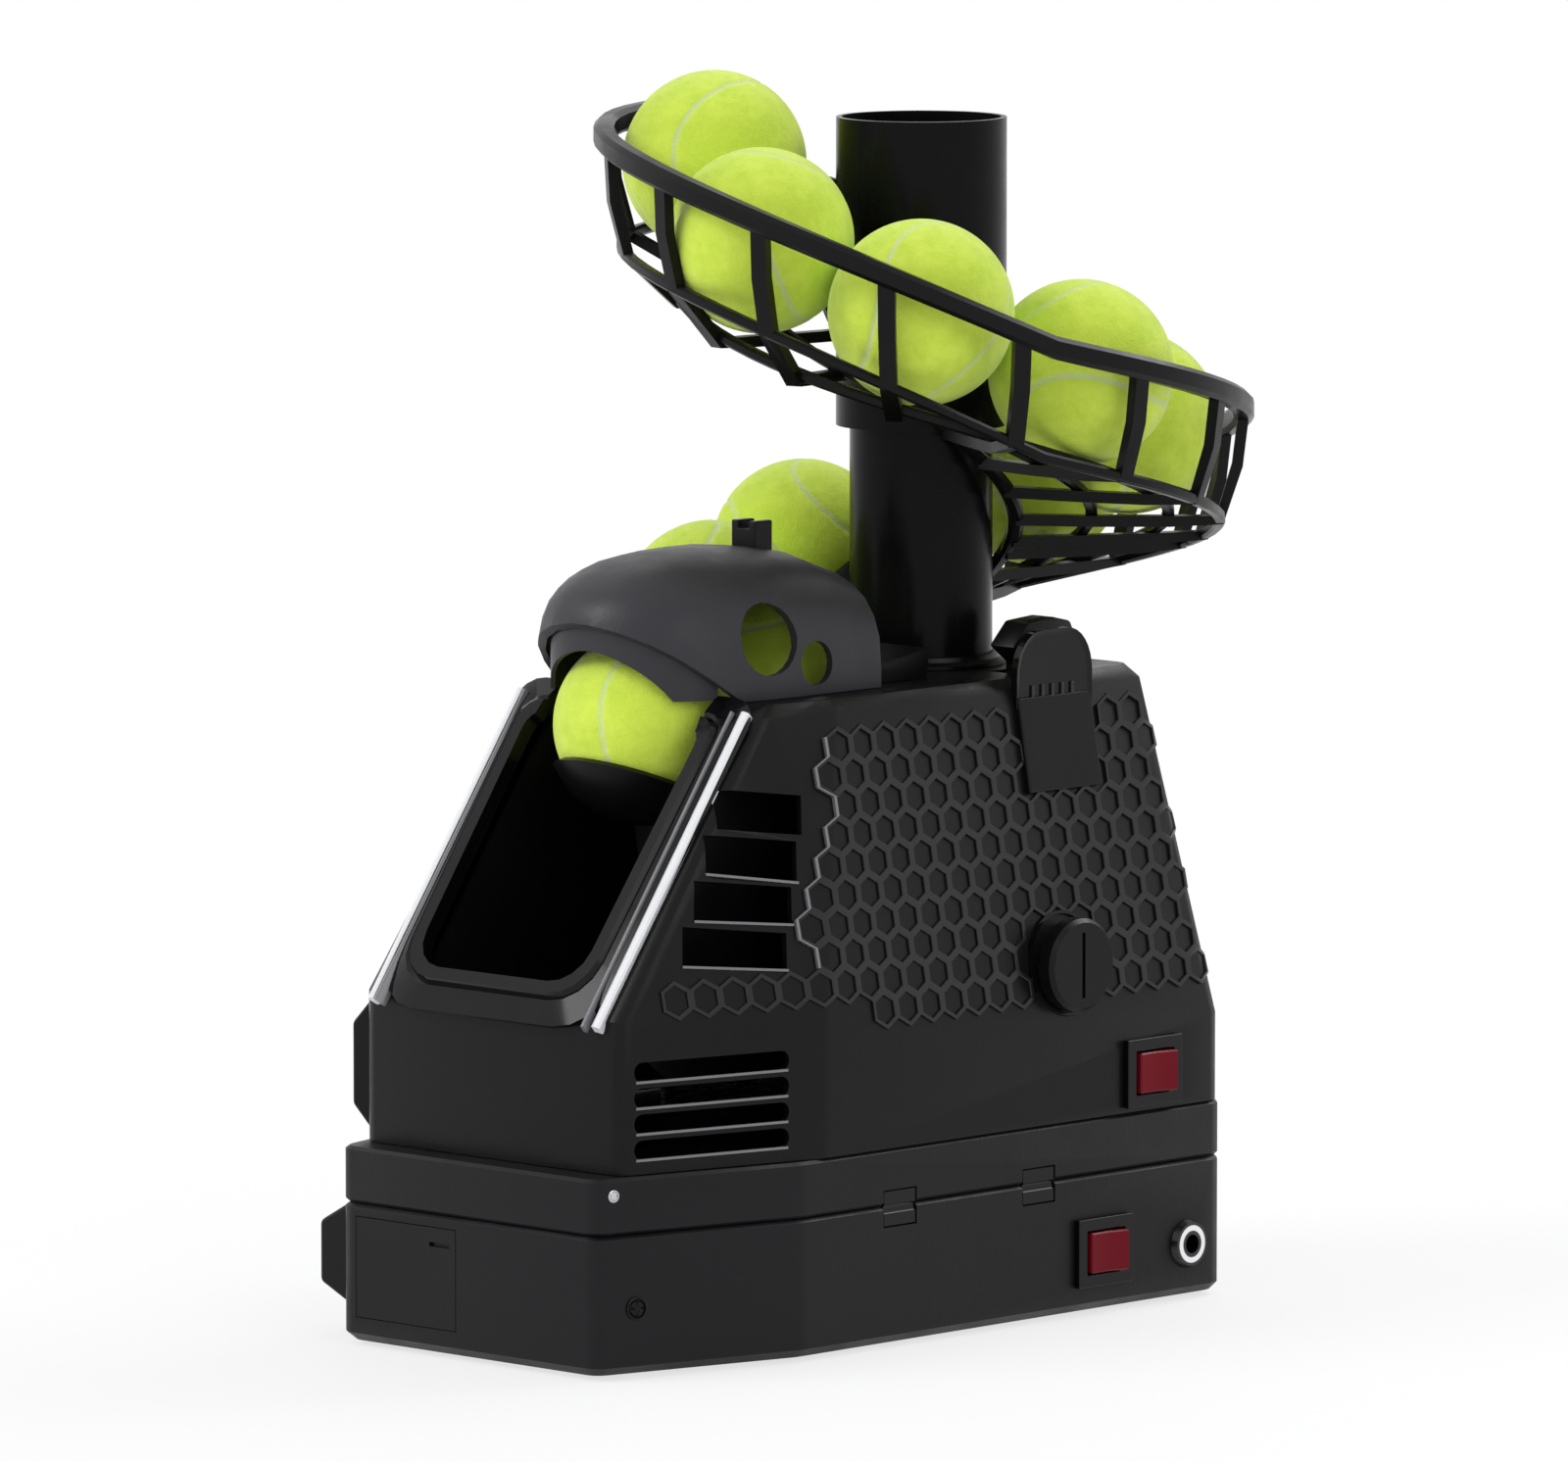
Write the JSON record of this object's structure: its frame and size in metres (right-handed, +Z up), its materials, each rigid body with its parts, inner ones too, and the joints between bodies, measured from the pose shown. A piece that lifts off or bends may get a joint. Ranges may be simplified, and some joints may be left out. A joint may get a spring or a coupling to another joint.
{
  "type": "ball machine",
  "caption": "Table-top ball machine with a spiral wire basket of tennis balls that feeds a small throwing arm.",
  "frame": {"origin": "on the ground under the middle of the outline", "axes": "+Z up, the throwing mouth faces -Y, the control side faces +X"},
  "size_m": [0.2424, 0.3544, 0.446],
  "materials": {
    "ball_felt": "matt",
    "basket_black": "satin",
    "board_green": "satin",
    "body_black": "satin",
    "brass": "satin",
    "cell_blue": "gloss",
    "gloss_black": "gloss",
    "hood_grey": "matt",
    "nylon": "satin",
    "rubber": "matt",
    "steel": "satin",
    "switch_red": "gloss",
    "tube_black": "satin"
  },
  "bodies": {
    "base": {"base_screw_1": "steel", "base_screw_2": "steel", "base_screw_3": "steel", "base_screw_4": "steel", "battery_cells": "cell_blue", "battery_tray": "body_black", "chassis_deck": "body_black", "control_board": "board_green", "dial_sensor": "steel", "drive_motor": "steel", "feed_chute": "body_black", "feed_post": "tube_black", "front_left_foot": "rubber", "front_right_foot": "rubber", "gear_axle": "steel", "gearbox_plate": "steel", "hood": "hood_grey", "housing": "body_black", "launch_bay": "body_black", "left_shaft_bush": "brass", "mouth_frame": "gloss_black", "pack_switch_frame": "gloss_black", "post_collar": "body_black", "power_jack": "steel", "power_switch_frame": "gloss_black", "rear_left_foot": "rubber", "rear_right_foot": "rubber", "right_shaft_bush": "brass", "throw_spring": "steel"},
    "track": {"basket_hub": "tube_black", "upper_basket": "basket_black", "lower_basket": "basket_black", "track_end_plate": "basket_black"},
    "arm": {"throw_arm": "body_black", "arm_shaft": "steel", "crank_lever": "steel"},
    "gear": {"drive_gear": "nylon"},
    "pinion": {"motor_pinion": "brass"},
    "dial": {"speed_dial": "body_black"},
    "power_rocker": {"power_switch_rocker": "switch_red"},
    "pack_rocker": {"pack_switch_rocker": "switch_red"},
    "lever": {"angle_lever": "body_black"},
    "door": {"battery_door": "body_black"},
    "latch_front": {"front_latch": "body_black"},
    "latch_rear": {"rear_latch": "body_black"},
    "ball_1": {"tennis_ball_1": "ball_felt"},
    "ball_2": {"tennis_ball_2": "ball_felt"},
    "ball_3": {"tennis_ball_3": "ball_felt"},
    "ball_4": {"tennis_ball_4": "ball_felt"},
    "ball_5": {"tennis_ball_5": "ball_felt"},
    "ball_6": {"tennis_ball_6": "ball_felt"},
    "ball_7": {"tennis_ball_7": "ball_felt"},
    "ball_8": {"tennis_ball_8": "ball_felt"},
    "ball_9": {"tennis_ball_9": "ball_felt"},
    "ball_10": {"tennis_ball_10": "ball_felt"}
  },
  "joints": [
    {"name": "track_lift", "type": "slide", "parent": "base", "child": "track", "axis": [0, 0, 1], "range_m": [0, 0.12]},
    {"name": "arm_swing", "type": "hinge", "parent": "base", "child": "arm", "pos_m": [0, -0.06925, 0.114], "axis": [1, 0, 0], "range_deg": [0, 42], "stiffness_Nm_per_rad": 0.25, "springref_deg": -20.05, "deforming": ["throw_spring"]},
    {"name": "gear_spin", "type": "hinge", "parent": "base", "child": "gear", "pos_m": [-0.056, -0.00925, 0.114], "axis": [1, 0, 0], "continuous": true},
    {"name": "pinion_spin", "type": "hinge", "parent": "base", "child": "pinion", "pos_m": [-0.056, 0.02325, 0.114], "axis": [1, 0, 0], "continuous": true},
    {"name": "dial_turn", "type": "hinge", "parent": "base", "child": "dial", "pos_m": [0.08123, 0.04525, 0.129], "axis": [1, 0, 0], "range_deg": [0, 270]},
    {"name": "power_tip", "type": "hinge", "parent": "base", "child": "power_rocker", "pos_m": [0.0853, 0.08775, 0.086], "axis": [0, 0, 1], "range_deg": [0, 14]},
    {"name": "pack_tip", "type": "hinge", "parent": "base", "child": "pack_rocker", "pos_m": [0.0853, 0.06175, 0.023], "axis": [0, 0, 1], "range_deg": [0, 14]},
    {"name": "lever_tip", "type": "hinge", "parent": "base", "child": "lever", "pos_m": [0.045, 0.06775, 0.216], "axis": [1, 0, 0], "range_deg": [-18, 18]},
    {"name": "door_open", "type": "hinge", "parent": "base", "child": "door", "pos_m": [-0.056, -0.17725, 0.0285], "axis": [0, 0, -1], "range_deg": [0, 90]},
    {"name": "latch_front_open", "type": "hinge", "parent": "base", "child": "latch_front", "pos_m": [0.0847, -0.04425, 0.044], "axis": [0, 1, 0], "range_deg": [0, 20], "stiffness_Nm_per_rad": 0.02, "springref_deg": -5.73},
    {"name": "latch_rear_open", "type": "hinge", "parent": "base", "child": "latch_rear", "pos_m": [0.0847, 0.02835, 0.044], "axis": [0, 1, 0], "range_deg": [0, 20], "stiffness_Nm_per_rad": 0.02, "springref_deg": -5.73},
    {"name": "ball_1_roll", "type": "hinge", "parent": "track", "child": "ball_1", "pos_m": [-0.06226, 0.01266, 0.4125], "axis": [0.8192, 0.5736, 0], "continuous": true},
    {"name": "ball_2_roll", "type": "hinge", "parent": "track", "child": "ball_2", "pos_m": [-0.00775, -0.01935, 0.38882], "axis": [0.102, 0.9948, 0], "continuous": true},
    {"name": "ball_3_roll", "type": "hinge", "parent": "track", "child": "ball_3", "pos_m": [0.05211, 0.00093, 0.36513], "axis": [-0.6857, 0.7279, 0], "continuous": true},
    {"name": "ball_4_roll", "type": "hinge", "parent": "track", "child": "ball_4", "pos_m": [0.07593, 0.05948, 0.34144], "axis": [-0.9991, -0.0425, 0], "continuous": true},
    {"name": "ball_5_roll", "type": "hinge", "parent": "track", "child": "ball_5", "pos_m": [0.04723, 0.11579, 0.31776], "axis": [-0.6214, -0.7835, 0], "continuous": true},
    {"name": "ball_6_roll", "type": "hinge", "parent": "track", "child": "ball_6", "pos_m": [-0.01414, 0.13092, 0.29407], "axis": [0.1861, -0.9825, 0], "continuous": true},
    {"name": "ball_7_roll", "type": "hinge", "parent": "base", "child": "ball_7", "pos_m": [-0.07439, 0.07182, 0.26583], "axis": [0.9788, -0.2049, 0], "continuous": true},
    {"name": "ball_8_roll", "type": "hinge", "parent": "base", "child": "ball_8", "pos_m": [-0.05899, 0.00833, 0.24886], "axis": [0.7762, 0.6305, 0], "continuous": true},
    {"name": "ball_9_roll", "type": "hinge", "parent": "base", "child": "ball_9", "pos_m": [0, -0.01975, 0.23189], "axis": [0, 1, 0], "continuous": true},
    {"name": "ball_10_roll", "type": "hinge", "parent": "arm", "child": "ball_10", "pos_m": [0, -0.08619, 0.22], "axis": [1, 0, 0], "continuous": true}
  ],
  "couplings": [
    {"joint": "pinion_spin", "follows": "gear_spin", "ratio": -3.3333}
  ]
}
